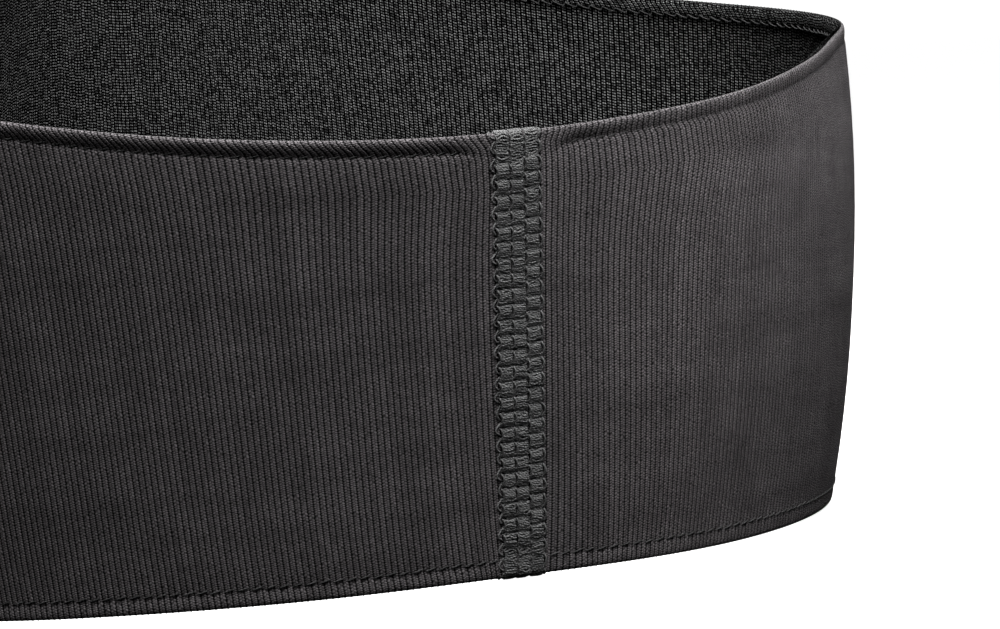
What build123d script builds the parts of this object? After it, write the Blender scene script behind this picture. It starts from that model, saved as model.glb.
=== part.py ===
from build123d import *
import os
from math import cos, hypot, radians, sin

# A tapered knit headband, standing on its lower edge as a loose ring. The seam that closes it is at the
# back (-Y) and the wide front is at +Y. Lengths are in millimetres. Turns are counted in degrees about
# +Z, anticlockwise from the seam.

# Each wave is its count in a lap, its height and the place of its first crest in degrees.
# Plan of the lower edge: a loose ring, a little out of round.
RING_RADIUS = 73.9
RING_WAVES = [
    (2, 7.25, 125.2), (3, 1.03, 51.0), (4, 3.51, 29.6), (5, 0.4, 66.8), (6, 0.36, 49.5), (8, 0.37, 24.0),
    (9, 0.17, 15.1),
]

# Height of the band, measured straight up: narrow at the seam, wide in front. The places of these waves
# are counted by the distance along the ring, 360 degrees to its whole length.
MEAN_HEIGHT = 76.4
HEIGHT_WAVES = [(1, 16.9, 200.5), (2, 3.46, 44.0), (3, 0.68, 60.0)]

# The wall leans outwards, by a share of its height, and bulges at its mid height.
LEAN = 0.0845
LEAN_WAVES = [(1, 0.099, 28.3), (2, 0.109, 140.9), (3, 0.016, 104.8)]
BULGE = 1.21
BULGE_WAVES = [(1, 0.9, 93.6), (2, 1.3, 77.0)]

# Fabric
FABRIC_THICKNESS = 0.9
HEM_THICKNESS = 1.7
HEM_HEIGHT = 2.5
RIM_BEVEL = 0.35
HALF_GAP_OF_ENDS = 0.1  # the two ends of the strip butt together under the seam
BODY_ROWS = 6  # straight panels that stand in for the curve of the wall

# Threads of the flatlock seam
NEEDLE_THREADS = 4
NEEDLE_SPACING = 1.95
STITCH_LENGTH = 2.06
NEEDLE_WIDTH = 0.45
NEEDLE_STITCH_OVERLAP = 0.2
CROSSING_WIDTH = 1.2
THREAD_THICKNESS = 0.3
THREAD_CLEARANCE = 0.12
INNER_THREAD_CLEARANCE = 0.25

# Threads of the hems
HEM_STITCH_LEVEL = 2.1  # distance of the stitch line from the rim
HEM_STITCH_WIDTH = 0.5
HEM_THREAD_HALF_GAP = 3.4  # the hem threads stop beside the flatlock seam

SAMPLES_ROUND = 72
ARC_STEPS = 2880
TANGENT_STEP = 0.25  # degrees
LEVEL_TOLERANCE = 1e-9


def waves_at(turn, waves):
    return sum(height * cos(radians(count * (turn - crest))) for count, height, crest in waves)


def ring_point(turn):
    radius = RING_RADIUS + waves_at(turn, RING_WAVES)
    return Vector(radius * sin(radians(turn)), -radius * cos(radians(turn)), 0)


def outward(turn):
    """Level unit vector square to the ring."""
    along = ring_point(turn + TANGENT_STEP) - ring_point(turn - TANGENT_STEP)
    return Vector(along.Y, -along.X, 0).normalized()


def arc_length_table():
    """Share of the ring's length reached at each step of turn."""
    points = [ring_point(360 * step / ARC_STEPS) for step in range(ARC_STEPS + 1)]
    lengths = [0.0]
    for start, end in zip(points, points[1:]):
        lengths.append(lengths[-1] + hypot(end.X - start.X, end.Y - start.Y))
    return [length / lengths[-1] for length in lengths], lengths[-1]


ARC_SHARE, RING_LENGTH = arc_length_table()


def arc_turn(turn):
    """Place by distance along the ring from the seam, 360 degrees to a lap."""
    return 360 * ARC_SHARE[round((turn % 360) / 360 * ARC_STEPS)]


def rim_height(turn):
    return MEAN_HEIGHT + waves_at(arc_turn(turn), HEIGHT_WAVES)


def smooth_wall_point(turn, height, depth):
    """Point at a height, and at a depth into the wall from its outer face."""
    share = height / rim_height(turn)
    lean = LEAN + waves_at(turn, LEAN_WAVES)
    arch = 1 - (2 * share - 1) ** 2
    bulge = arch * (BULGE + waves_at(turn, BULGE_WAVES))
    return ring_point(turn) + outward(turn) * (lean * height + bulge - depth) + Vector(0, 0, height)


def row_heights(turn):
    """Heights of the wall's rows: the bevels and the hem lines, with even rows between the hems."""
    top = rim_height(turn)
    body = top - 2 * HEM_HEIGHT
    rows = [HEM_HEIGHT + body * row / BODY_ROWS for row in range(BODY_ROWS + 1)]
    return [0, RIM_BEVEL] + rows + [top - RIM_BEVEL, top]


def wall_point(turn, height, depth):
    """Point on the wall as built, which is straight from one row to the next."""
    rows = row_heights(turn)
    last = len(rows) - 1
    upper = next(index for index in range(1, last + 1) if height <= rows[index] or index == last)
    low, high = rows[upper - 1], rows[upper]
    start = smooth_wall_point(turn, low, depth)
    end = smooth_wall_point(turn, high, depth)
    return start + (end - start) * ((height - low) / (high - low))


def plan_centre():
    """Centre of the box round the whole band, which becomes the origin."""
    points = []
    for step in range(ARC_STEPS):
        turn = 360 * step / ARC_STEPS
        points += [smooth_wall_point(turn, height, 0) for height in row_heights(turn)]
    xs = [point.X for point in points]
    ys = [point.Y for point in points]
    return Vector((min(xs) + max(xs)) / 2, (min(ys) + max(ys)) / 2, 0)


def strip_turns(half_gap):
    """Turns along the strip, from one of its ends to the other."""
    end_turn = 360 * half_gap / RING_LENGTH
    span = 360 - 2 * end_turn
    return [end_turn + span * step / SAMPLES_ROUND for step in range(SAMPLES_ROUND + 1)]


def face_between(rail, next_rail):
    """Face between two rails of the strip: a true plane where both lie on the ground."""
    edge = Edge.make_spline(rail)
    next_edge = Edge.make_spline(next_rail)
    if max(abs(point.Z) for point in rail + next_rail) > LEVEL_TOLERANCE:
        return Face.make_surface_from_curves(edge, next_edge)
    ends = [Edge.make_line(rail[end], next_rail[end]) for end in (0, -1)]
    return Face(Wire([edge, next_edge] + ends))


def strip_around_band(corners, half_gap):
    """Solid whose section is a loop of corners, each a height rule and a depth into the wall."""
    turns = strip_turns(half_gap)
    rails = [[wall_point(turn, height(turn), depth) for turn in turns] for height, depth in corners]
    faces = [face_between(rail, next_rail) for rail, next_rail in zip(rails, rails[1:] + rails[:1])]
    for end in (0, -1):
        faces.append(Face(Wire.make_polygon([rail[end] for rail in rails], close=True)))
    return Solid(Shell(faces))


def row_rule(row):
    return lambda turn: row_heights(turn)[row]


def band_panel():
    """The knit strip, with both long edges folded to the inside as hems."""
    last = len(row_heights(0)) - 1
    outer = [(row_rule(0), RIM_BEVEL)]
    outer += [(row_rule(row), 0) for row in range(1, last)]
    outer += [(row_rule(last), RIM_BEVEL)]
    top_hem = [
        (row_rule(last), HEM_THICKNESS - RIM_BEVEL),
        (row_rule(last - 1), HEM_THICKNESS),
        (row_rule(last - 2), HEM_THICKNESS),
    ]
    inner = [(row_rule(row), FABRIC_THICKNESS) for row in range(last - 2, 1, -1)]
    bottom_hem = [
        (row_rule(2), HEM_THICKNESS),
        (row_rule(1), HEM_THICKNESS),
        (row_rule(0), HEM_THICKNESS - RIM_BEVEL),
    ]
    return strip_around_band(outer + top_hem + inner + bottom_hem, HALF_GAP_OF_ENDS)


def hem_thread(distance_from_rim, at_top, inside):
    """A line of hem stitches, laid on the outside or on the inside of a hem."""

    def level(offset):
        if at_top:
            return lambda turn: rim_height(turn) - distance_from_rim + offset
        return lambda turn: distance_from_rim + offset

    near = HEM_THICKNESS + THREAD_CLEARANCE if inside else -THREAD_CLEARANCE
    far = near + THREAD_THICKNESS if inside else near - THREAD_THICKNESS
    half = HEM_STITCH_WIDTH / 2
    corners = [(level(-half), near), (level(half), near), (level(half), far), (level(-half), far)]
    return strip_around_band(corners, HEM_THREAD_HALF_GAP)


def seam_plane(height):
    """Plane on the outer face at the seam: X runs across the seam and Z points outwards."""
    step = STITCH_LENGTH / 2
    low = max(height - step, 0)
    high = min(height + step, rim_height(0))
    up = (wall_point(0, high, 0) - wall_point(0, low, 0)).normalized()
    across = (wall_point(TANGENT_STEP, height, 0) - wall_point(-TANGENT_STEP, height, 0)).normalized()
    return Plane(origin=wall_point(0, height, 0), x_dir=across, z_dir=across.cross(up))


def bar_on_seam(height, across, width, length, lift, thickness=THREAD_THICKNESS):
    """Flat bar on the seam, its near face lifted outwards from the outer face of the wall."""
    bar = Box(width, length, thickness, align=(Align.CENTER, Align.CENTER, Align.MIN))
    return seam_plane(height) * Pos(across, 0, lift) * bar


def stitch_heights():
    count = round(rim_height(0) / STITCH_LENGTH)
    return [rim_height(0) * (stitch + 0.5) / count for stitch in range(count)]


def needle_thread(across):
    """One upright line of stitches, lying over the cover thread."""
    lift = THREAD_CLEARANCE + THREAD_THICKNESS + THREAD_CLEARANCE
    length = STITCH_LENGTH + NEEDLE_STITCH_OVERLAP
    heights = stitch_heights()[1:-1]
    bars = [bar_on_seam(height, across, NEEDLE_WIDTH, length, lift) for height in heights]
    return bars[0].fuse(*bars[1:])


def crossing_thread(lift_at):
    """A thread laid back and forth across the seam, one pass to a stitch."""
    half_span = NEEDLE_SPACING * (NEEDLE_THREADS - 1) / 2
    heights = stitch_heights()
    bars = []
    for index, height in enumerate(heights):
        lift = lift_at(height)
        bars.append(bar_on_seam(height, 0, 2 * half_span, CROSSING_WIDTH, lift))
        if index + 1 < len(heights):
            side = half_span if index % 2 else -half_span
            middle = (height + heights[index + 1]) / 2
            lifts = sorted([lift, lift_at(heights[index + 1])])
            depth = lifts[1] - lifts[0] + THREAD_THICKNESS
            bars.append(bar_on_seam(middle, side, NEEDLE_WIDTH, STITCH_LENGTH, lifts[0], depth))
    return bars[0].fuse(*bars[1:])


def looper_lift(height):
    """Lift of the inner thread, which passes behind the plain wall and behind the thicker hems."""
    from_rim = min(height, rim_height(0) - height)
    in_hem = from_rim < HEM_HEIGHT + STITCH_LENGTH / 2
    wall = HEM_THICKNESS if in_hem else FABRIC_THICKNESS
    return -wall - INNER_THREAD_CLEARANCE - THREAD_THICKNESS


def all_parts():
    parts = {"band_panel": band_panel()}
    for index in range(NEEDLE_THREADS):
        across = NEEDLE_SPACING * (index - (NEEDLE_THREADS - 1) / 2)
        parts[f"flatlock_needle_thread_{index + 1}"] = needle_thread(across)
    parts["flatlock_cover_thread"] = crossing_thread(lambda height: THREAD_CLEARANCE)
    parts["flatlock_looper_thread"] = crossing_thread(looper_lift)
    parts["top_hem_needle_thread"] = hem_thread(HEM_STITCH_LEVEL, at_top=True, inside=False)
    parts["top_hem_looper_thread"] = hem_thread(HEM_STITCH_LEVEL, at_top=True, inside=True)
    parts["bottom_hem_needle_thread"] = hem_thread(HEM_STITCH_LEVEL, at_top=False, inside=False)
    parts["bottom_hem_looper_thread"] = hem_thread(HEM_STITCH_LEVEL, at_top=False, inside=True)
    return parts


os.makedirs("parts", exist_ok=True)
to_origin = Pos(-plan_centre())
for name, shape in all_parts().items():
    export_step(to_origin * shape, f"parts/{name}.step")
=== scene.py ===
"""A knit sports headband: one tapered strip of rib knit, closed at the back by a flatlock seam."""

import math

import bpy
import numpy as np
from mathutils import Matrix


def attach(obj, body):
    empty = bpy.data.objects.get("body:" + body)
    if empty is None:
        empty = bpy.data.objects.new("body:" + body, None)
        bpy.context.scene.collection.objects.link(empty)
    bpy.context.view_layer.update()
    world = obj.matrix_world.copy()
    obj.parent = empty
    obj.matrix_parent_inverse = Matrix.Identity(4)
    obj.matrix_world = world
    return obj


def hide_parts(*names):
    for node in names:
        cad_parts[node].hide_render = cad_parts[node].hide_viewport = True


# Lengths are in millimetres until a mesh is made. Turns are in degrees, anticlockwise from the seam.
MM = 0.001

# --- The ring, as in the CAD model. Each wave is its count in a lap, its height and its first crest.
RING_RADIUS = 73.9
RING_WAVES = [
    (2, 7.25, 125.2),
    (3, 1.03, 51.0),
    (4, 3.51, 29.6),
    (5, 0.4, 66.8),
    (6, 0.36, 49.5),
    (8, 0.37, 24.0),
    (9, 0.17, 15.1),
]
MEAN_HEIGHT = 76.4
HEIGHT_WAVES = [(1, 16.9, 200.5), (2, 3.46, 44.0), (3, 0.68, 60.0)]
LEAN = 0.0845
LEAN_WAVES = [(1, 0.099, 28.3), (2, 0.109, 140.9), (3, 0.016, 104.8)]
BULGE = 1.21
BULGE_WAVES = [(1, 0.9, 93.6), (2, 1.3, 77.0)]
FABRIC_THICKNESS = 0.9
HALF_GAP_OF_ENDS = 0.1
ARC_STEPS = 2880
PROFILE_STEPS = 16
TANGENT_STEP = 0.25  # degrees

# --- Knit
WALES = 606
RIB_SHOULDER = 0.2  # share of a wale from its gap to the top of the rib
OUTER_RELIEF = 0.09
INNER_RELIEF = 0.05
OUTER_BODY_ROWS = 13
INNER_BODY_ROWS = 7
HEM_TO_BODY_STEP = 0.3  # from the inner end of a hem to the first row of the plain wall

# Section of a hem, from its fold to the plain wall: distance from the rim, depth into the wall where the
# hem is flat, and what the roll of the hem adds to that depth.
FOLD_RADIUS = 0.85
HEM_CREST_RELIEF = 0.65  # of the relief of the wall
HEM_OUTSIDE = [
    (0.0, 0.35, -0.05),
    (0.08, 0.12, -0.1),
    (0.25, 0.02, -0.2),
    (0.55, 0.0, -0.28),
    (1.0, 0.0, -0.25),
    (1.4, 0.0, -0.1),
    (1.75, 0.0, 0.04),
    (2.05, 0.0, 0.25),
    (2.3, 0.0, 0.28),
    (2.6, 0.0, 0.08),
    (3.0, 0.0, 0.0),
]
BOTTOM_ROLL = 0.35  # the bottom hem rolls less than the top one
HEM_INSIDE = [
    (0.2, 1.42, 0.0),
    (0.7, 1.68, 0.05),
    (1.5, 1.7, 0.1),
    (2.2, 1.68, 0.0),
    (2.5, 1.4, 0.0),
    (2.55, 1.0, 0.0),
]
HEM_STITCH_LEVEL = 2.2
HEM_LIP_LEVEL = 2.5
HEM_SLANT = 0.9  # how far the ribs of the top hem lean away from the seam
HEM_SLANT_START = 5  # from the seam, where the lean is full
HEM_SLANT_END = 60  # before the place opposite the seam, where the lean changes sides
HEM_SLANT_ENDS_BELOW_RIM = 0.3
HEM_FLAT_HALF_WIDTH = 3.0
HEM_FULL_HALF_WIDTH = 8.5
HEM_GROWTH_AT_SEAM = 0.35
HEM_PULL = 0.6  # how much of the roll the tight turn of the band to the right of the seam pulls out
HEM_PULL_START = (3, 20)
HEM_PULL_END = (150, 200)

# How far the seam draws the ribs in beside it at the lower hem, at what distance from it most, and how soon
# that dies away along the band and up it.
SEAM_PULL_LEFT = 1.1
SEAM_PULL_RIGHT = 0.9
SEAM_PULL_PEAK = 3
SEAM_PULL_REACH = 14
SEAM_PULL_HEIGHT = 12

# How much wider the ribs get beside the seam, as the slide of the ribs at the peak. On the right it grows
# with height, and there the ribs also widen where the band turns away.
SPREAD_PEAK = 35
SPREAD_LEFT = -2.2
SPREAD_RIGHT_AT_FOOT = -0.4
SPREAD_RIGHT_RISE = 2.6
TURN_SPREAD = 6
TURN_SPREAD_START = 30
TURN_SPREAD_PEAK = 75

# How the ribs of the loose cloth lie: distance to the right of the seam, tilt to the right in degrees, and
# how far to the right they sway under the top hem, drift at the top rim and drift at the lower rim.
RIB_LIE = [
    (-150, 0.0, 0.0, 0.0, 0.0),
    (-80, 1.2, 0.0, -1.1, 0.2),
    (-60, 0.5, 0.0, -1.1, 0.2),
    (-40, -1.5, 0.0, -0.8, 0.5),
    (-25, -2.5, 0.5, -0.1, 0.7),
    (-15, -3.6, 1.2, 0.0, 0.7),
    (-8, -3.8, 1.6, 0.0, 0.7),
    (0, 0.0, 0.0, 0.0, 0.0),
    (8, -2.4, 1.0, 0.0, -0.3),
    (18, -2.4, 2.0, 0.0, -0.9),
    (28, -0.6, 2.8, 0.0, -0.8),
    (42, 2.6, 3.4, 0.0, -0.8),
    (70, 2.6, 3.4, 0.0, -0.8),
    (150, 0.0, 0.0, 0.0, 0.0),
]
SWAY_BELOW_RIM = 6
TOP_DRIFT_REACH = 7
BOTTOM_DRIFT_REACH = 8

# --- Flatlock seam
NEEDLE_THREADS = 4
NEEDLE_SPACING = 1.95
STITCH_LENGTH = 2.06
ROWS_ROUND_THE_RIM = 2
LAST_COLUMN_OFFSET = 0.4  # of a stitch
SEAM_WIDENING = 0.1  # how much wider the seam is at its top than at its foot
SEAM_SLANT = 0.8  # how far its top lies to the left of its foot
FOLD_PRESS_START = 3.4  # distances from a rim between which the press of the hem dies away
FOLD_PRESS_END = 4.6

# Rows of the cover thread. A pair of numbers is the range of a random draw.
COVER_STRANDS = 9
COVER_STRAND_RADIUS = 0.165
COVER_MARGIN = 0.09  # of the needle spacing, at each end of a strand
COVER_PATH_POINTS = 11
COVER_HALF_HEIGHT = 0.95
COVER_PRESSED_GROWTH = 0.4  # what the press of a hem adds to the half height
COVER_END_SHARE = 0.72  # half height of a row at its pinched ends, of that in its middle
COVER_LIFT = 0.08  # of the outermost strands off the wall, and what the round of a row adds to it
COVER_ROUND_LIFT = 0.06
COVER_FULL_LIFT = 0.3  # what the middle of a row adds where it isn't pressed
COVER_PRESSED_SHARE = 0.85  # how much of that the press of a hem takes away
COVER_ROUNDNESS = 0.8
ROW_TILT = (-0.2, 0.2)
ROW_HEIGHT = (0.95, 1.1)
ROW_FULLNESS = (0.85, 1.1)
STRAND_WAVER = (-0.14, 0.14)
STRAND_WAVE_START = (-2, 2)
STRAND_LIFT = (-0.035, 0.035)

# Loops of the cover thread at the sides of the seam
LEFT_LOOP_REACH = 0.75
LEFT_LOOP_RADIUS = 0.12
RIGHT_LOOP_REACH = 0.4
RIGHT_LOOP_RADIUS = 0.09
LOOP_BASE = 0.05
LOOP_PRESSED_SHARE = 0.6
LOOP_REACH = (0.6, 1.15)
LOOP_START = (0.8, 1.0)
LOOP_SWEEP = (0.75, 1.0)
LOOP_LIFT = (0.04, 0.24)

# Needle threads
NEEDLE_RADIUS = 0.13
NEEDLE_PATH_POINTS = 10  # of a stitch
NEEDLE_DEPTH = 0.2
NEEDLE_RISE = 0.54
NEEDLE_PRESSED_DROP = 0.17
NEEDLE_OFFSET = 0.12
NEEDLE_SLANT = (0.28, 0.42)

# --- Looper thread on the inside of the seam
LOOPER_STRANDS = 3
LOOPER_RADIUS = 0.15
LOOPER_PATH_POINTS = 25
LOOPER_HALF_HEIGHT = 0.3
LOOPER_OVERHANG = 0.2
LOOPER_SLOPE = 0.35  # of a stitch, up and down in turn
LOOPER_LIFT = 0.22
LOOPER_ARCH = 0.12
LOOPER_WAVER = (-0.05, 0.05)
HEM_DEPTH = 1.75
HEM_STEP_START = 2.6
HEM_STEP_END = 3.4

# --- Hem stitches
HEM_STITCH_LENGTH = 1.8
HEM_THREAD_RADIUS = 0.1
HEM_THREAD_HALF_GAP = 3.4
HEM_PATH_POINTS = 9  # of a stitch
BOTTOM_STITCH_RISE = 0.3
INNER_SWAY = 0.28
OUTER_SWAY = 0.2
STITCH_UNEVENNESS = 0.06
# Depth in the wall at which a hem thread dips in, and how much deeper it is in the middle of a stitch, where
# less than zero is nearer the outer face.
INNER_THREAD_DEPTH = (1.4, 0.4)
TOP_THREAD_DEPTH = (0.5, -0.34)
BOTTOM_THREAD_DEPTH = (0.32, -0.38)

# --- Materials. The ranges say how dark and how light each part of a pattern makes a material, times its
# mean tone. Steps are from the middle of a rib, in ribs. Noises are their cells in a rib or a turn of
# thread, their cells in a millimetre along it, and their detail.
ROUGHNESS = 0.85
FIBRE_SPECULAR = 0.15
NEUTRAL = (1.0, 1.0, 1.0)
FACE_TINT = (1.0, 0.925, 0.96)
FACE_TONE = 0.17
FACE_BUMP = 0.07
FACE_COURSE_LENGTH = 0.37
FACE_COURSE_DRIFT = 3.0
FACE_STITCH_SLANT = 0.6
# Step to the dark gap between ribs, whose darkening is painted shade; it also shapes the bump.
FACE_RIB_AND_GAP_SHADE_STEP = (0.42, 0.2)
# Step to the crease down the middle of a rib, whose darkening is painted shade; it also shapes the bump.
FACE_MIDDLE_CREASE_AND_SHADE_STEP = (0.0, 0.14)
FACE_EDGE_WAVE = -0.1
FACE_DRIFT_NOISE = (7.7, 0.5, 2.0)
FACE_MOTTLE_NOISE = (0.12, 0.12, 5.0)
FACE_BANDS_NOISE = (0.02, 0.22, 2.0)
FACE_FLECK_NOISE = (3.1, 4.6, 1.0)
FACE_LOOP_HEIGHTS = (0.6, 1.0)
FACE_MIDDLE_HEIGHTS = (0.75, 1.0)
FACE_RANGES = {
    # Painted shade in the gaps between ribs.
    "rib": (0.04, 1.0),
    # Painted shade between courses and painted highlight on the loops.
    "loop": (0.4, 1.35),
    # Painted shade in the crease down the middle of a rib.
    "middle": (0.58, 1.0),
    "stitch": (0.75, 1.25),
    "column": (0.9, 1.1),
    "fleck": (0.4, 1.6),
    "mottle": (0.75, 1.25),
    "bands": (0.75, 1.25),
}
# The back's low tone is the yarn's tone darkened with painted shade of the ring's inside.
BACK_TONE_AND_PAINTED_SHADE = 0.125
BACK_BUMP = 0.03
BACK_LOOP_LENGTH = 0.48
BACK_LOOP_STEP = (0.25, 0.75)  # of a cosine wave along the rib
# Steps to the gap between ribs and to the middle of a rib: the near black there is painted shade.
BACK_RIB_AND_GAP_SHADE_STEP = (0.38, 0.27)
BACK_MIDDLE_CREASE_AND_SHADE_STEP = (0.04, 0.16)
BACK_MOTTLE_NOISE = (0.2, 0.2, 3.0)
BACK_RANGES = {
    # Painted shade between the two loops of a pair.
    "middle": (0.3, 1.0),
    "stitch": (0.2, 1.8),
    "mottle": (0.8, 1.2),
}
THREAD_BUMP = 0.03
THREAD_TWIST = 2.4  # turns in a millimetre
THREAD_FIBRE_NOISE = (3.0, 5.0, 3.0)
THREAD_PER_TUBE = 7.3  # what each tube adds to the thread coordinate, so that no two look the same
THREAD_RANGES = {
    # Painted shade in the grooves between the plies.
    "ply": (0.6, 1.2),
    "fibre": (0.1, 1.9),
    "strand": (0.75, 1.25),
}
SEAM_THREAD_TONE = 0.178
SEAM_THREAD_PLIES = 3
HEM_THREAD_TONE = 0.07
HEM_THREAD_PLIES = 2

# --- Camera and light
CAMERA_PLACE = (-169.2, -573.2, 72.6)  # from the middle of the lower ring
CAMERA_YAW = -18.5
CAMERA_PITCH = -4.0
CAMERA_ROLL = -4.6
CAMERA_LENS = 143.2
# Each softbox: bearing from the camera, elevation, distance and width in metres, and power in watts.
SOFTBOXES = {
    "key_light": (26, 66, 0.5, 0.35, 4.8),
    "fill_light": (5, 45, 0.8, 0.5, 1.3),
    "back_light": (180, 38, 1.0, 0.6, 6.0),
}
WORLD_STRENGTH = 1.05
FLOOR_HALF_WIDTH = 6.0  # metres
FLOOR_LEVEL = -0.0004  # metres, just clear of the lower edge
FLOOR_TONE = 0.85
FLOOR_ROUGHNESS = 0.9


# ------------------------------------------------------------------------------------------------
# The wall
# ------------------------------------------------------------------------------------------------
def waves_at(turn, waves):
    return sum(height * np.cos(np.radians(count * (turn - crest))) for count, height, crest in waves)


def ring_point(turn):
    radius = RING_RADIUS + waves_at(turn, RING_WAVES)
    across = np.sin(np.radians(turn))
    ahead = -np.cos(np.radians(turn))
    return np.stack([radius * across, radius * ahead, np.zeros_like(radius)], axis=-1)


def outward(turn):
    """Level unit vector square to the ring."""
    along = ring_point(turn + TANGENT_STEP) - ring_point(turn - TANGENT_STEP)
    square = np.stack([along[..., 1], -along[..., 0], np.zeros_like(along[..., 0])], axis=-1)
    return square / np.linalg.norm(square, axis=-1, keepdims=True)


TABLE_TURNS = np.linspace(0, 360, ARC_STEPS + 1)
TABLE_LENGTHS = np.concatenate(
    [[0], np.cumsum(np.linalg.norm(np.diff(ring_point(TABLE_TURNS), axis=0), axis=1))]
)
RING_LENGTH = TABLE_LENGTHS[-1]


def arch(share):
    """0 where the share is 0 or 1, and 1 half way between."""
    return 4 * share * (1 - share)


def rim_height(place):
    """Height of the band at a distance along the ring from the seam."""
    return MEAN_HEIGHT + waves_at(360 * place / RING_LENGTH, HEIGHT_WAVES)


def wall_from_seam(place, height, depth):
    """Point of the wall at a distance along the ring, a height, and a depth in from its outer face."""
    turn = np.interp(np.mod(place, RING_LENGTH), TABLE_LENGTHS, TABLE_TURNS)
    share = height / rim_height(place)
    lean = LEAN + waves_at(turn, LEAN_WAVES)
    bulge = arch(share) * (BULGE + waves_at(turn, BULGE_WAVES))
    offset = lean * height + bulge - depth
    point = ring_point(turn) + outward(turn) * offset[..., None]
    point[..., 2] += height
    return point


def plan_centre():
    """Centre of the box round the whole band, which is the origin of the CAD model."""
    places = np.linspace(0, RING_LENGTH, ARC_STEPS)[:, None]
    heights = rim_height(places) * np.linspace(0, 1, PROFILE_STEPS)
    points = wall_from_seam(places + 0 * heights, heights, 0 * heights)
    flat = points.reshape(-1, 3)
    return (flat.min(axis=0) + flat.max(axis=0)) / 2 * [1, 1, 0]


CENTRE = plan_centre()


def wall(place, height, depth):
    place, height, depth = np.broadcast_arrays(
        np.asarray(place, float), np.asarray(height, float), np.asarray(depth, float)
    )
    return wall_from_seam(place, height, depth) - CENTRE


def wrapped_wall(place, level, lift):
    """Point of the seam over the outer face, where a level past a rim goes round its fold to the inside."""
    top = rim_height(np.asarray(place, float))
    level = level + 0 * place
    lift = lift + 0 * level
    share_up = np.clip(level / top, 0, 1)
    place = place * (1 + SEAM_WIDENING * share_up) - SEAM_SLANT * share_up
    past_top = np.clip((level - (top - FOLD_RADIUS)) / FOLD_RADIUS, 0, np.pi)
    past_bottom = np.clip((FOLD_RADIUS - level) / FOLD_RADIUS, 0, np.pi)
    turn = past_top + past_bottom
    straight = np.clip(level, FOLD_RADIUS, top - FOLD_RADIUS)
    inside = np.maximum(np.maximum(level - top, -level) + FOLD_RADIUS - np.pi * FOLD_RADIUS, 0)
    rise = (FOLD_RADIUS + lift) * np.sin(turn) - inside
    height = straight + np.where(past_top > 0, rise, -rise)
    height = np.where(turn > 0, height, straight)
    depth = FOLD_RADIUS - (FOLD_RADIUS + lift) * np.cos(turn)
    return wall(place, height, depth)


def smooth_step(value, low, high):
    share = np.clip((value - low) / (high - low), 0, 1)
    return share * share * (3 - 2 * share)


def hump(value, peak):
    """Rises from 0 at 0 to 1 at the peak, and dies away past it."""
    return value / peak * np.exp(1 - value / peak)


# ------------------------------------------------------------------------------------------------
# Meshes
# ------------------------------------------------------------------------------------------------
def new_piece(name, points, faces, corner_uvs, materials, face_materials=None):
    mesh = bpy.data.meshes.new(name)
    mesh.from_pydata((points.reshape(-1, 3) * MM).tolist(), [], faces)
    for material in materials:
        mesh.materials.append(material)
    if face_materials is not None:
        mesh.polygons.foreach_set("material_index", face_materials)
    layer = mesh.uv_layers.new(name="thread")
    layer.data.foreach_set("uv", np.asarray(corner_uvs, np.float32).ravel())
    mesh.shade_smooth()
    mesh.validate()
    mesh.update()
    piece = bpy.data.objects.new(name, mesh)
    bpy.context.scene.collection.objects.link(piece)
    return piece


def tubes(name, paths, radius, sides, reference, material):
    """Round tubes that follow paths, an array of tube, point and coordinate."""
    count, steps = paths.shape[:2]
    along = np.gradient(paths, axis=1)
    along /= np.linalg.norm(along, axis=2, keepdims=True)
    across = np.cross(along, reference)
    across /= np.linalg.norm(across, axis=2, keepdims=True)
    third = np.cross(across, along)
    angles = 2 * np.pi * np.arange(sides) / sides
    ring = across[:, :, None] * np.cos(angles)[:, None] + third[:, :, None] * np.sin(angles)[:, None]
    points = paths[:, :, None] + ring * np.broadcast_to(radius, (count, steps))[:, :, None, None]

    index = np.arange(count * steps * sides).reshape(count, steps, sides)
    after = np.roll(index, -1, axis=2)
    quads = np.stack([index[:, :-1], after[:, :-1], after[:, 1:], index[:, 1:]], axis=-1).reshape(-1, 4)
    caps = np.concatenate([index[:, 0, ::-1], index[:, -1]])

    lengths = np.linalg.norm(np.diff(paths, axis=1), axis=2)
    lengths = np.concatenate([np.zeros((count, 1)), np.cumsum(lengths, axis=1)], axis=1)
    lengths += np.arange(count)[:, None] * THREAD_PER_TUBE
    low, high = lengths[:, :-1, None], lengths[:, 1:, None]
    start = np.arange(sides) / sides + 0 * low
    end = start + 1 / sides
    low, high = low + 0 * start, high + 0 * start
    corners = np.stack([start, low, end, low, end, high, start, high], axis=-1).reshape(-1, 2)
    cap_corners = np.zeros((caps.size, 2))
    cap_corners[:, 1] = np.repeat(np.concatenate([lengths[:, 0], lengths[:, -1]]), sides)
    uvs = np.concatenate([corners, cap_corners])
    return new_piece(name, points, quads.tolist() + caps.tolist(), uvs, [material])


def join(name, pieces):
    """One piece made of several."""
    with bpy.context.temp_override(
        active_object=pieces[0], selected_editable_objects=pieces, object=pieces[0]
    ):
        bpy.ops.object.join()
    pieces[0].name = name
    pieces[0].data.name = name
    return pieces[0]


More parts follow.
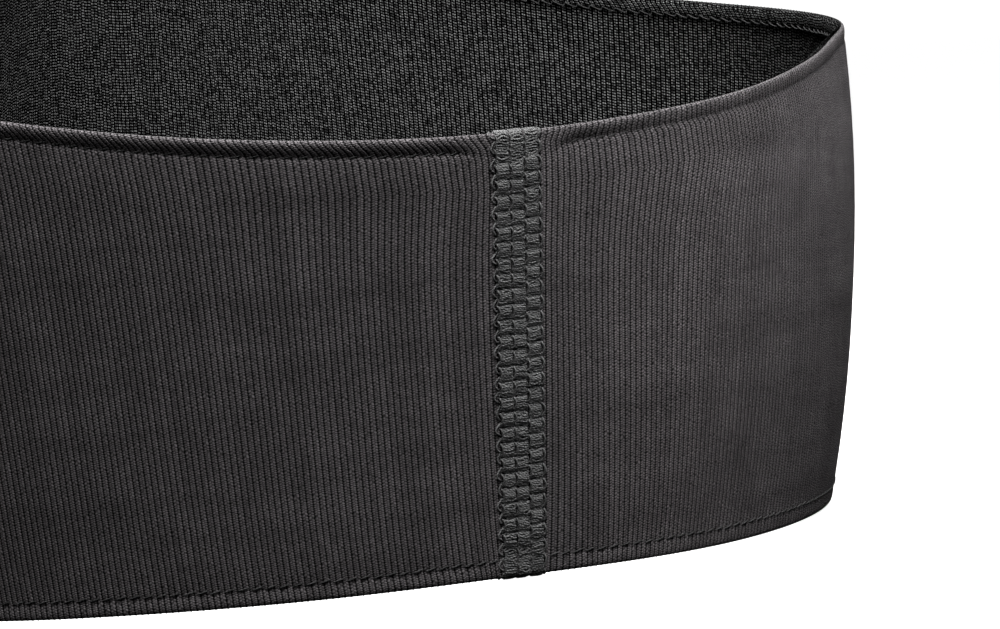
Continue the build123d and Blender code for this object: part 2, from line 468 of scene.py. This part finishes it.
# ------------------------------------------------------------------------------------------------
# Materials
# ------------------------------------------------------------------------------------------------
class Nodes:
    """Adds nodes to a new material, each fed by numbers and by the outputs of other nodes."""

    def __init__(self, name):
        self.material = bpy.data.materials.new(name)
        self.material.use_nodes = True
        self.tree = self.material.node_tree
        self.shader = self.tree.nodes["Principled BSDF"]

    def add(self, kind, inputs, output=0, **settings):
        node = self.tree.nodes.new(kind)
        for key, value in settings.items():
            setattr(node, key, value)
        for key, value in inputs.items():
            self.feed(node.inputs[key], value)
        return node.outputs[output]

    def feed(self, socket, value):
        if isinstance(value, bpy.types.NodeSocket):
            self.tree.links.new(value, socket)
        else:
            socket.default_value = value

    def math(self, operation, *values):
        return self.add("ShaderNodeMath", dict(enumerate(values)), operation=operation)

    def product(self, first, *others):
        for other in others:
            first = self.math("MULTIPLY", first, other)
        return first

    def blend(self, low, high, share):
        """low + (high - low) * share, for numbers low and high."""
        return self.math("MULTIPLY_ADD", share, high - low, low)

    def step(self, value, low, high):
        """A soft step from 0 at low to 1 at high, or the other way round where low is above high."""
        falls = low > high
        inputs = {0: value, 1: min(low, high), 2: max(low, high), 3: float(falls), 4: float(not falls)}
        return self.add("ShaderNodeMapRange", inputs, interpolation_type="SMOOTHSTEP")

    def point(self, x, y):
        return self.add("ShaderNodeCombineXYZ", {0: x, 1: y})

    def random(self, x, y):
        return self.add("ShaderNodeTexWhiteNoise", {"Vector": self.point(x, y)}, noise_dimensions="2D")

    def noise(self, x, y, x_cells, y_cells, detail):
        """Noise with so many cells in a unit of x and in a unit of y."""
        place = self.point(self.math("MULTIPLY", x, x_cells), self.math("MULTIPLY", y, y_cells))
        inputs = {"Vector": place, "Scale": 1.0, "Detail": detail}
        return self.add("ShaderNodeTexNoise", inputs, noise_dimensions="2D")

    def thread_place(self):
        """The two coordinates of the thread UV layer."""
        layer = self.add("ShaderNodeUVMap", {}, uv_map="thread")
        split = self.tree.nodes.new("ShaderNodeSeparateXYZ")
        self.tree.links.new(layer, split.inputs[0])
        return split.outputs[0], split.outputs[1]

    def rib_place(self):
        """Wale and girth, numbers of the rib and of its half, and distance from its middle."""
        wale, girth = self.thread_place()
        rib_number = self.math("FLOOR", wale)
        half_rib = self.math("FLOOR", self.math("MULTIPLY", wale, 2.0))
        across = self.math("SUBTRACT", self.math("FRACT", wale), 0.5)
        return wale, girth, rib_number, half_rib, self.math("ABSOLUTE", across)

    def cosine_wave(self, phase):
        """1 where phase is whole and 0 half way between."""
        return self.blend(0.5, 1.0, self.math("COSINE", self.math("MULTIPLY", phase, 2 * math.pi)))

    def shade(self, tone, ranges, **shares):
        """The tone times a blend over the range of each name, by the share of that name."""
        return self.product(tone, *[self.blend(*ranges[name], share) for name, share in shares.items()])

    def finish(self, tone, tint, height, bump_depth, specular):
        colour = self.add("ShaderNodeVectorMath", {0: tint, "Scale": tone}, operation="SCALE")
        self.feed(self.shader.inputs["Base Color"], colour)
        bump = self.add("ShaderNodeBump", {"Height": height, "Strength": 1.0, "Distance": bump_depth * MM})
        self.feed(self.shader.inputs["Normal"], bump)
        self.shader.inputs["Roughness"].default_value = ROUGHNESS
        self.shader.inputs["Specular IOR Level"].default_value = specular
        return self.material


def knit_face_material():
    """The outside of the knit: ribs of small V-shaped stitches, with painted shade in the dark gaps between
    them.
    """
    nodes = Nodes("knit_face")
    wale, girth, rib_number, half_rib, from_centre = nodes.rib_place()
    drift = nodes.noise(rib_number, girth, *FACE_DRIFT_NOISE)
    course = nodes.math("MULTIPLY", drift, FACE_COURSE_DRIFT)
    course = nodes.math("MULTIPLY_ADD", girth, 1 / FACE_COURSE_LENGTH, course)
    course = nodes.math("MULTIPLY_ADD", from_centre, FACE_STITCH_SLANT, course)
    course = nodes.math("MULTIPLY_ADD", half_rib, 0.5, course)
    # Painted shade between the courses and painted highlight on the loops, which also shape the bump.
    loop = nodes.cosine_wave(course)
    stitch = nodes.random(half_rib, nodes.math("FLOOR", course))
    column = nodes.random(rib_number, 1.0)
    # Painted shade in the gaps between ribs and in the crease down the middle of each rib; both also shape
    # the bump.
    edge = nodes.math("MULTIPLY_ADD", loop, FACE_EDGE_WAVE, from_centre)
    rib = nodes.step(edge, *FACE_RIB_AND_GAP_SHADE_STEP)
    middle = nodes.step(from_centre, *FACE_MIDDLE_CREASE_AND_SHADE_STEP)
    mottle = nodes.noise(wale, girth, *FACE_MOTTLE_NOISE)
    bands = nodes.noise(wale, girth, *FACE_BANDS_NOISE)
    fleck = nodes.noise(wale, girth, *FACE_FLECK_NOISE)
    tone = nodes.shade(
        FACE_TONE, FACE_RANGES, rib=rib, loop=loop, middle=middle, stitch=stitch, column=column,
        fleck=fleck, mottle=mottle, bands=bands,
    )
    loop_height = nodes.blend(*FACE_LOOP_HEIGHTS, loop)
    height = nodes.product(rib, loop_height, nodes.blend(*FACE_MIDDLE_HEIGHTS, middle))
    return nodes.finish(tone, FACE_TINT, height, FACE_BUMP, FIBRE_SPECULAR)


def knit_back_material():
    """The inside of the knit: pairs of pale loops in columns, on a nearly black ground of painted shade."""
    nodes = Nodes("knit_back")
    wale, girth, rib_number, half_rib, from_centre = nodes.rib_place()
    course = nodes.math("MULTIPLY", girth, 1 / BACK_LOOP_LENGTH)
    course = nodes.math("ADD", nodes.random(rib_number, 5.0), course)
    # Pale loops; the black ground between them is painted shade, and the loops also shape the bump.
    loop = nodes.step(nodes.cosine_wave(course), *BACK_LOOP_STEP)
    stitch = nodes.random(half_rib, nodes.math("FLOOR", nodes.math("ADD", course, 0.5)))
    rib = nodes.step(from_centre, *BACK_RIB_AND_GAP_SHADE_STEP)
    middle = nodes.step(from_centre, *BACK_MIDDLE_CREASE_AND_SHADE_STEP)
    loops = nodes.product(loop, rib, nodes.blend(*BACK_RANGES["middle"], middle))
    mottle = nodes.noise(wale, girth, *BACK_MOTTLE_NOISE)
    # The low back tone adds painted shade of the ring's inside.
    tone = nodes.product(loops, nodes.shade(BACK_TONE_AND_PAINTED_SHADE, BACK_RANGES, stitch=stitch, mottle=mottle))
    return nodes.finish(tone, NEUTRAL, loops, BACK_BUMP, 0.0)


def thread_material(name, mean_tone, plies):
    """Spun thread: plies that wind round it, with painted shade between them, and loose fibres."""
    nodes = Nodes(name)
    around, along = nodes.thread_place()
    turns = nodes.math("MULTIPLY_ADD", around, plies, nodes.math("MULTIPLY", along, THREAD_TWIST))
    # Painted shade between the plies, which also shapes the bump.
    ply = nodes.cosine_wave(turns)
    fibre = nodes.noise(around, along, *THREAD_FIBRE_NOISE)
    strand = nodes.random(nodes.math("FLOOR", nodes.math("DIVIDE", along, THREAD_PER_TUBE)), 3.0)
    tone = nodes.shade(mean_tone, THREAD_RANGES, ply=ply, fibre=fibre, strand=strand)
    return nodes.finish(tone, NEUTRAL, ply, THREAD_BUMP, FIBRE_SPECULAR)


# ------------------------------------------------------------------------------------------------
# The fabric
# ------------------------------------------------------------------------------------------------
def wale_columns():
    """Places of the mesh columns, in wales from the seam, and how much of the gap each has."""
    starts = np.arange(WALES)[:, None] + np.array([0, RIB_SHOULDER, 1 - RIB_SHOULDER])
    wales = np.append(starts.ravel(), WALES)
    gap = np.append(np.tile([1.0, 0.0, 0.0], WALES), 1.0)
    return wales, gap


def hem_relief(rise):
    """Depth of the gaps between the ribs, which the pull of the hem flattens towards its fold."""
    share = HEM_CREST_RELIEF + (1 - HEM_CREST_RELIEF) * min(rise / HEM_STITCH_LEVEL, 1.0)
    return OUTER_RELIEF * share


def section_rows(place):
    """Rows of the closed section: height, depth, relief and side, going up outside and down inside."""
    top = rim_height(place)
    from_seam = np.minimum(place, RING_LENGTH - place)
    clear_of_seam = smooth_step(from_seam, HEM_FLAT_HALF_WIDTH, HEM_FULL_HALF_WIDTH)
    pulled = smooth_step(place, *HEM_PULL_START) * (1 - smooth_step(place, *HEM_PULL_END))
    roll = clear_of_seam * (1 - HEM_PULL * pulled)
    growth = 1 + HEM_GROWTH_AT_SEAM * (1 - clear_of_seam)
    hem_end = HEM_OUTSIDE[-1][0] * growth
    body_start = HEM_INSIDE[-1][0] + HEM_TO_BODY_STEP
    rows = []
    for rise, depth, rolled in HEM_OUTSIDE:
        rows.append((rise * growth, depth + BOTTOM_ROLL * rolled * roll, hem_relief(rise), "outside"))
    for step in range(1, OUTER_BODY_ROWS):
        height = hem_end + (top - 2 * hem_end) * step / OUTER_BODY_ROWS
        rows.append((height, 0 * place, OUTER_RELIEF, "outside"))
    for rise, depth, rolled in reversed(HEM_OUTSIDE):
        rows.append((top - rise * growth, depth + rolled * roll, hem_relief(rise), "outside"))
    for rise, depth, rolled in HEM_INSIDE:
        rows.append((top - rise, depth + rolled * roll, INNER_RELIEF, "inside"))
    for step in range(INNER_BODY_ROWS, -1, -1):
        height = body_start + (top - 2 * body_start) * step / INNER_BODY_ROWS
        rows.append((height, FABRIC_THICKNESS + 0 * place, INNER_RELIEF, "inside"))
    for rise, depth, rolled in reversed(HEM_INSIDE):
        rows.append((rise + 0 * place, depth + rolled * roll, INNER_RELIEF, "inside"))
    return rows


def rib_slide(place, heights, top):
    """How far the ribs slide along the band, to the right of an onlooker who faces the seam."""
    is_right = place < RING_LENGTH / 2
    side = np.where(is_right, 1.0, -1.0)
    from_seam = np.minimum(place, RING_LENGTH - place)
    below_rim = np.maximum(top - heights, 0)

    in_hem = smooth_step(heights, top - HEM_STITCH_LEVEL, top - HEM_SLANT_ENDS_BELOW_RIM)
    fade = smooth_step(from_seam, 0, HEM_SLANT_START)
    fade = fade * smooth_step(RING_LENGTH / 2 - from_seam, 0, HEM_SLANT_END)
    slant = side * HEM_SLANT * in_hem * fade

    strength = np.where(is_right, SEAM_PULL_RIGHT, SEAM_PULL_LEFT)
    beside_seam = hump(from_seam, SEAM_PULL_PEAK) * np.exp(-from_seam / SEAM_PULL_REACH)
    pull = -side * strength * beside_seam * np.exp(-heights / SEAM_PULL_HEIGHT)

    spread = np.where(is_right, SPREAD_RIGHT_RISE * heights / top + SPREAD_RIGHT_AT_FOOT, SPREAD_LEFT)
    spread = spread * hump(from_seam, SPREAD_PEAK)
    past_peak = smooth_step(place, TURN_SPREAD_PEAK, RING_LENGTH / 2)
    spread = spread + TURN_SPREAD * smooth_step(place, TURN_SPREAD_START, TURN_SPREAD_PEAK) * (1 - past_peak)

    to_the_right = np.where(is_right, place, place - RING_LENGTH)
    stops, *columns = np.array(RIB_LIE).T
    tilt, sway, top_drift, bottom_drift = [np.interp(to_the_right, stops, column) for column in columns]
    lie = np.tan(np.radians(tilt)) * (heights - top / 2)
    lie = lie + sway * hump(below_rim, SWAY_BELOW_RIM) ** 2
    lie = lie + top_drift * np.exp(-below_rim / TOP_DRIFT_REACH)
    lie = lie + bottom_drift * np.exp(-heights / BOTTOM_DRIFT_REACH)
    return slant + pull + spread + lie


def band_fabric(face, back):
    wales, gap = wale_columns()
    place = HALF_GAP_OF_ENDS + (RING_LENGTH - 2 * HALF_GAP_OF_ENDS) * wales / WALES
    top = rim_height(place)
    rows = section_rows(place)
    heights = np.array([row[0] for row in rows])
    depths = np.array([row[1] for row in rows])
    relief = np.array([row[2] for row in rows])[:, None]
    ahead_height = np.roll(heights, -1, axis=0) - np.roll(heights, 1, axis=0)
    ahead_depth = np.roll(depths, -1, axis=0) - np.roll(depths, 1, axis=0)
    size = np.hypot(ahead_height, ahead_depth)
    heights_cut = heights + relief * gap * ahead_depth / size
    depths_cut = depths + relief * gap * ahead_height / size
    places = place + rib_slide(place, heights, top)
    to_the_rim_there = rim_height(places) / top
    points = wall(places, heights_cut * to_the_rim_there, depths_cut)

    smooth = wall(places, heights, depths)
    steps = np.linalg.norm(np.roll(smooth, -1, axis=0) - smooth, axis=2)
    girth = np.concatenate([np.zeros((1, steps.shape[1])), np.cumsum(steps, axis=0)])

    row_count, column_count = heights.shape
    index = np.arange(row_count * column_count).reshape(row_count, column_count)
    above = np.roll(index, -1, axis=0)
    quads = np.stack([index[:, :-1], index[:, 1:], above[:, 1:], above[:, :-1]], axis=-1).reshape(-1, 4)
    ends = [index[::-1, 0].tolist(), index[:, -1].tolist()]

    wale_map = np.broadcast_to(wales, (row_count, column_count))
    corner_list = [
        wale_map[:, :-1], girth[:-1, :-1], wale_map[:, 1:], girth[:-1, 1:],
        wale_map[:, 1:], girth[1:, 1:], wale_map[:, :-1], girth[1:, :-1],
    ]
    corners = np.stack(corner_list, axis=-1).reshape(-1, 2)
    end_corners = np.zeros((2 * row_count, 2))
    uvs = np.concatenate([corners, end_corners])
    is_inside = np.array([row[3] == "inside" for row in rows])
    row_is_back = is_inside | np.roll(is_inside, -1)
    materials = np.repeat(row_is_back, column_count - 1).astype(np.int32)
    materials = np.append(materials, [0, 0])
    return new_piece("knit_band", points, quads.tolist() + ends, uvs, [face, back], materials)


# ------------------------------------------------------------------------------------------------
# The flatlock seam
# ------------------------------------------------------------------------------------------------
OUT_AT_SEAM = np.array([0, -1.0, 0])


def needle_lines():
    return NEEDLE_SPACING * (np.arange(NEEDLE_THREADS) - (NEEDLE_THREADS - 1) / 2)


def seam_rows():
    """Levels of the rows of the seam, with those that the hems fold to the inside, and their pitch."""
    top = rim_height(0.0)
    count = round(top / STITCH_LENGTH)
    pitch = top / count
    return pitch * (np.arange(-ROWS_ROUND_THE_RIM, count + ROWS_ROUND_THE_RIM) + 0.5), pitch


def in_fold(level):
    """1 where the hems have pressed the seam flat and 0 between them."""
    from_rim = min(level, rim_height(0.0) - level)
    return 1 - float(smooth_step(from_rim, FOLD_PRESS_START, FOLD_PRESS_END))


def cover_blocks(material, chance):
    """Bundles of strands from needle line to needle line, spread in the middle and pinched at the ends."""
    levels, pitch = seam_rows()
    lines = needle_lines()
    steps = np.linspace(0, 1, COVER_PATH_POINTS)
    rise = np.sin(np.pi * steps) ** 0.5
    width = COVER_END_SHARE + (1 - COVER_END_SHARE) * rise
    paths = []
    for column in range(NEEDLE_THREADS - 1):
        is_last = column == NEEDLE_THREADS - 2
        across = lines[column] + NEEDLE_SPACING * (COVER_MARGIN + (1 - 2 * COVER_MARGIN) * steps)
        for row_level in levels + LAST_COLUMN_OFFSET * pitch * is_last:
            pressed = in_fold(row_level)
            tilt = chance.uniform(*ROW_TILT)
            half = COVER_HALF_HEIGHT * chance.uniform(*ROW_HEIGHT) + COVER_PRESSED_GROWTH * pressed
            fullness = COVER_FULL_LIFT * chance.uniform(*ROW_FULLNESS) * (1 - COVER_PRESSED_SHARE * pressed)
            for strand in np.linspace(-1, 1, COVER_STRANDS):
                waver = chance.uniform(*STRAND_WAVER)
                waver = waver * np.sin(2 * np.pi * steps + chance.uniform(*STRAND_WAVE_START))
                level = row_level + strand * half * width + tilt * (steps - 0.5) + waver
                round_over = math.sqrt(1 - COVER_ROUNDNESS * strand * strand)
                lift = COVER_LIFT + (COVER_ROUND_LIFT + fullness * rise) * round_over
                lift = lift + chance.uniform(*STRAND_LIFT)
                paths.append(wrapped_wall(across, level, lift))
    return tubes("cover_blocks", np.array(paths), COVER_STRAND_RADIUS, 6, OUT_AT_SEAM, material)


def edge_loops(name, line, reach, radius, material, chance):
    """Loops in which the cover thread turns from row to row, outside the outermost needle line."""
    levels, pitch = seam_rows()
    steps = np.linspace(0, 1, COVER_PATH_POINTS)
    out = np.sin(np.pi * steps**1.3) ** 0.9
    paths = []
    for row_level in levels[:-1]:
        reach_here = reach * chance.uniform(*LOOP_REACH)
        start = chance.uniform(*LOOP_START)
        sweep = chance.uniform(*LOOP_SWEEP)
        level = row_level + pitch * (start - sweep * steps)
        freedom = 1 - LOOP_PRESSED_SHARE * in_fold(row_level)
        lift = LOOP_BASE + chance.uniform(*LOOP_LIFT) * out * freedom
        paths.append(wrapped_wall(line + reach_here * out, level, lift))
    return tubes(name, np.array(paths), radius, 6, OUT_AT_SEAM, material)


def needle_thread(number, line, material, chance):
    """A line of stitches that each come up between two rows, slant over a row's corner and go down."""
    levels, pitch = seam_rows()
    is_by_last_column = number >= NEEDLE_THREADS - 1
    offset = LAST_COLUMN_OFFSET * pitch * is_by_last_column
    steps = np.arange(NEEDLE_PATH_POINTS) / NEEDLE_PATH_POINTS
    across, along, lifts = [], [], []
    for row_level in levels[::-1]:
        slant = chance.uniform(*NEEDLE_SLANT)
        rise = NEEDLE_RISE - NEEDLE_PRESSED_DROP * in_fold(row_level)
        across.append(line - NEEDLE_OFFSET + slant * np.sin(np.pi * steps))
        along.append(row_level + offset + pitch * (0.5 - steps))
        lifts.append(rise * np.sin(np.pi * steps**0.75) ** 0.5 - NEEDLE_DEPTH)
    path = wrapped_wall(np.concatenate(across), np.concatenate(along), np.concatenate(lifts))
    name = f"seam_needle_thread_{number}"
    return tubes(name, path[None], NEEDLE_RADIUS, 8, np.array([1.0, 0, 0]), material)


def looper_blocks(material, chance):
    """The thread laid across the seam on the inside."""
    levels, pitch = seam_rows()
    lines = needle_lines()
    steps = np.linspace(0, 1, LOOPER_PATH_POINTS)
    across = lines[0] - LOOPER_OVERHANG + (lines[-1] - lines[0] + 2 * LOOPER_OVERHANG) * steps
    arches = np.abs(np.sin((NEEDLE_THREADS - 1) * np.pi * steps))
    top = rim_height(0.0)
    paths = []
    for number, height in enumerate(levels[ROWS_ROUND_THE_RIM:-ROWS_ROUND_THE_RIM]):
        slope = LOOPER_SLOPE * pitch * (1 if number % 2 else -1)
        for strand in np.linspace(-1, 1, LOOPER_STRANDS):
            level = height + strand * LOOPER_HALF_HEIGHT + slope * (steps - 0.5)
            level = level + chance.uniform(*LOOPER_WAVER)
            from_rim = np.minimum(level, top - level)
            in_hem = 1 - smooth_step(from_rim, HEM_STEP_START, HEM_STEP_END)
            depth = FABRIC_THICKNESS + (HEM_DEPTH - FABRIC_THICKNESS) * in_hem
            paths.append(wall(across, level, depth + LOOPER_LIFT + LOOPER_ARCH * arches))
    return tubes("seam_looper_thread", np.array(paths), LOOPER_RADIUS, 6, OUT_AT_SEAM, material)


# ------------------------------------------------------------------------------------------------
# Stitches of the hems
# ------------------------------------------------------------------------------------------------
def hem_stitches(name, at_top, inside, material, chance):
    """A thread that runs along a hem and dips into the fabric at each stitch."""
    if inside:
        level, sway, (dip, change) = HEM_LIP_LEVEL, INNER_SWAY, INNER_THREAD_DEPTH
    elif at_top:
        level, sway, (dip, change) = HEM_STITCH_LEVEL, OUTER_SWAY, TOP_THREAD_DEPTH
    else:
        level, sway, (dip, change) = HEM_STITCH_LEVEL + BOTTOM_STITCH_RISE, OUTER_SWAY, BOTTOM_THREAD_DEPTH
    span = RING_LENGTH - 2 * HEM_THREAD_HALF_GAP
    count = round(span / HEM_STITCH_LENGTH)
    phase = np.arange(count * HEM_PATH_POINTS + 1) / HEM_PATH_POINTS
    place = HEM_THREAD_HALF_GAP + span * phase / count
    share = np.mod(phase, 1)
    unevenness = np.repeat(chance.uniform(-1, 1, count + 1), HEM_PATH_POINTS)[: len(phase)]
    swing = sway * np.cos(np.pi * share) + STITCH_UNEVENNESS * unevenness
    height = rim_height(place) - (level + swing) if at_top else level - swing
    depth = dip + change * np.sin(np.pi * share) ** 0.7
    path = wall(place, height, depth)
    return tubes(name, path[None], HEM_THREAD_RADIUS, 6, np.array([0, 0, 1.0]), material)


# ------------------------------------------------------------------------------------------------
# Stage, light and camera
# ------------------------------------------------------------------------------------------------
def white_world():
    world = bpy.data.worlds.new("white")
    world.use_nodes = True
    background = world.node_tree.nodes["Background"]
    background.inputs["Color"].default_value = (1, 1, 1, 1)
    background.inputs["Strength"].default_value = WORLD_STRENGTH
    world.cycles_visibility.diffuse = False
    world.cycles_visibility.glossy = False
    bpy.context.scene.world = world


def pale_floor():
    mesh = bpy.data.meshes.new("floor")
    corners = [(-1, -1), (1, -1), (1, 1), (-1, 1)]
    points = [(x * FLOOR_HALF_WIDTH, y * FLOOR_HALF_WIDTH, FLOOR_LEVEL) for x, y in corners]
    mesh.from_pydata(points, [], [(0, 1, 2, 3)])
    floor = bpy.data.objects.new("floor", mesh)
    bpy.context.scene.collection.objects.link(floor)
    material = bpy.data.materials.new("pale_floor")
    material.use_nodes = True
    shader = material.node_tree.nodes["Principled BSDF"]
    shader.inputs["Base Color"].default_value = (FLOOR_TONE, FLOOR_TONE, FLOOR_TONE, 1)
    shader.inputs["Roughness"].default_value = FLOOR_ROUGHNESS
    shader.inputs["Emission Color"].default_value = (1, 1, 1, 1)
    shader.inputs["Emission Strength"].default_value = 1.0
    mesh.materials.append(material)
    floor.visible_diffuse = False
    floor.visible_glossy = False


def softbox(name, bearing, elevation, distance, size, power):
    """A square light, at a bearing in degrees to the right of the camera, that points at the origin."""
    light = bpy.data.lights.new(name, "AREA")
    light.shape = "SQUARE"
    light.size = size
    light.energy = power
    lamp = bpy.data.objects.new(name, light)
    turn = math.radians(CAMERA_YAW + bearing)
    rise = math.radians(elevation)
    matrix = Matrix.Rotation(turn, 4, "Z") @ Matrix.Rotation(math.pi / 2 - rise, 4, "X")
    lamp.matrix_world = matrix @ Matrix.Translation((0, 0, distance))
    lamp.visible_camera = False
    bpy.context.scene.collection.objects.link(lamp)


def camera():
    data = bpy.data.cameras.new("camera")
    data.lens = CAMERA_LENS
    data.clip_start = 0.01
    viewer = bpy.data.objects.new("camera", data)
    turns = Matrix.Rotation(math.radians(CAMERA_YAW), 4, "Z")
    turns = turns @ Matrix.Rotation(math.radians(90 + CAMERA_PITCH), 4, "X")
    turns = turns @ Matrix.Rotation(math.radians(CAMERA_ROLL), 4, "Z")
    viewer.matrix_world = Matrix.Translation((np.array(CAMERA_PLACE) - CENTRE) * MM) @ turns
    bpy.context.scene.collection.objects.link(viewer)
    bpy.context.scene.camera = viewer


# ------------------------------------------------------------------------------------------------
# The scene
# ------------------------------------------------------------------------------------------------
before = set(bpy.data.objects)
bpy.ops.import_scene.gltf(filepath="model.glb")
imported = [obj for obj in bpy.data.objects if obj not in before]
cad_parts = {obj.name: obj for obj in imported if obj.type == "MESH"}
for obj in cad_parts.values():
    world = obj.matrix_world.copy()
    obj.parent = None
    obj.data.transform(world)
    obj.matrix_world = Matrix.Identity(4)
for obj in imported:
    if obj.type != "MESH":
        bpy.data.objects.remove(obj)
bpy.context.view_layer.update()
chance = np.random.default_rng(20)

face = knit_face_material()
back = knit_back_material()
seam_thread = thread_material("seam_thread", SEAM_THREAD_TONE, SEAM_THREAD_PLIES)
hem_thread = thread_material("hem_thread", HEM_THREAD_TONE, HEM_THREAD_PLIES)

fabric = band_fabric(face, back)
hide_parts("band_panel")

lines = needle_lines()
blocks = cover_blocks(seam_thread, chance)
left = edge_loops("left_loops", lines[0], -LEFT_LOOP_REACH, LEFT_LOOP_RADIUS, seam_thread, chance)
right = edge_loops("right_loops", lines[-1], RIGHT_LOOP_REACH, RIGHT_LOOP_RADIUS, seam_thread, chance)
cover = join("seam_cover_thread", [blocks, left, right])
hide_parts("flatlock_cover_thread")

threads = [cover]
for number, line in enumerate(lines, start=1):
    thread = needle_thread(number, line, seam_thread, chance)
    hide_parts(f"flatlock_needle_thread_{number}")
    threads.append(thread)
looper = looper_blocks(seam_thread, chance)
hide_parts("flatlock_looper_thread")
threads.append(looper)

for edge in ("top", "bottom"):
    for layer, inside in (("needle", False), ("looper", True)):
        name = f"{edge}_hem_{layer}_thread"
        thread = hem_stitches(name + "_stitches", edge == "top", inside, hem_thread, chance)
        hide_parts(name)
        threads.append(thread)

for piece in [fabric] + threads:
    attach(piece, "root")

white_world()
pale_floor()
for name, settings in SOFTBOXES.items():
    softbox(name, *settings)
camera()
bpy.context.scene.view_settings.view_transform = "Standard"
